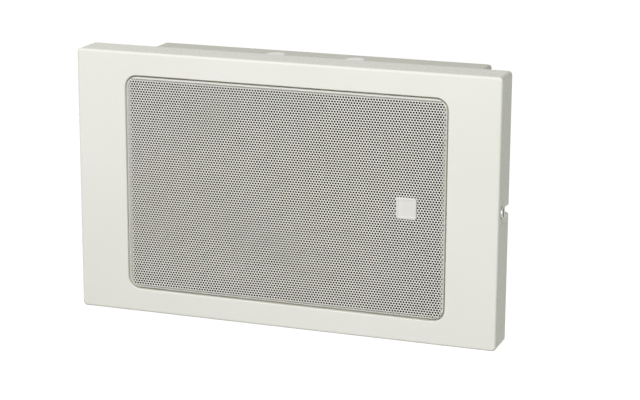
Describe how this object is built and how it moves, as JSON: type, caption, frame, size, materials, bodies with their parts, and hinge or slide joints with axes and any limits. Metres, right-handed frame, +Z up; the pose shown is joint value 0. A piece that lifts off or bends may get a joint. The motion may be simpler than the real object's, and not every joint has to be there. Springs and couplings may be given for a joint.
{
  "type": "wall-mount loudspeaker",
  "caption": "Flat off-white wall loudspeaker: moulded front panel with a perforated grille, a folded steel back box and a cone driver with line transformer inside.",
  "frame": {"origin": "centre of the wall-screw pattern on the back face of the back box", "axes": "+X to the right seen from the front, +Y towards the wall, +Z up; the grille faces -Y"},
  "size_m": [0.31, 0.087, 0.19],
  "materials": {
    "panel_plastic": "satin",
    "box_paint": "satin",
    "grille_paint": "satin",
    "black_cloth": "matt",
    "badge_plastic": "satin",
    "gasket_foam": "matt",
    "plug_plastic": "satin",
    "black_rubber": "matt",
    "zinc_steel": "zinc plated",
    "basket_steel": "satin",
    "cone_paper": "matt",
    "surround_cloth": "matt",
    "spider_cloth": "matt",
    "coil_wire": "enamelled",
    "ferrite": "matt",
    "pole_steel": "zinc plated",
    "board_brown": "satin",
    "tag_brass": "tinned",
    "core_steel": "varnished",
    "winding_tape": "taped",
    "terminal_plastic": "satin",
    "lead_sheath": "satin"
  },
  "bodies": {
    "housing": {"front_panel": "panel_plastic", "grille": "grille_paint", "dust_cloth": "black_cloth", "badge": "badge_plastic", "back_box": "box_paint", "box_gasket": "gasket_foam", "cable_entry_plugs": "plug_plastic", "cable_grommet": "black_rubber", "side_screws": "zinc_steel", "driver_gasket": "gasket_foam", "driver_basket": "basket_steel", "cone_surround": "surround_cloth", "spider": "spider_cloth", "top_plate": "pole_steel", "magnet": "ferrite", "yoke": "pole_steel", "driver_screws": "zinc_steel", "driver_nuts": "zinc_steel", "tag_strip": "board_brown", "solder_tags": "tag_brass", "transformer_core": "core_steel", "transformer_winding": "winding_tape", "transformer_bracket": "zinc_steel", "transformer_nuts": "zinc_steel", "terminal_block": "terminal_plastic", "terminal_screws": "tag_brass", "terminal_nuts": "zinc_steel", "driver_leads": "lead_sheath", "input_leads": "lead_sheath"},
    "moving_coil": {"cone": "cone_paper", "dust_cap": "cone_paper", "voice_coil": "coil_wire"}
  },
  "joints": [
    {"name": "cone_travel", "type": "slide", "parent": "housing", "child": "moving_coil", "axis": [0, 1, 0], "range_m": [-0.002, 0.002], "stiffness_N_per_m": 1200, "deforming": ["cone_surround", "spider"]}
  ]
}
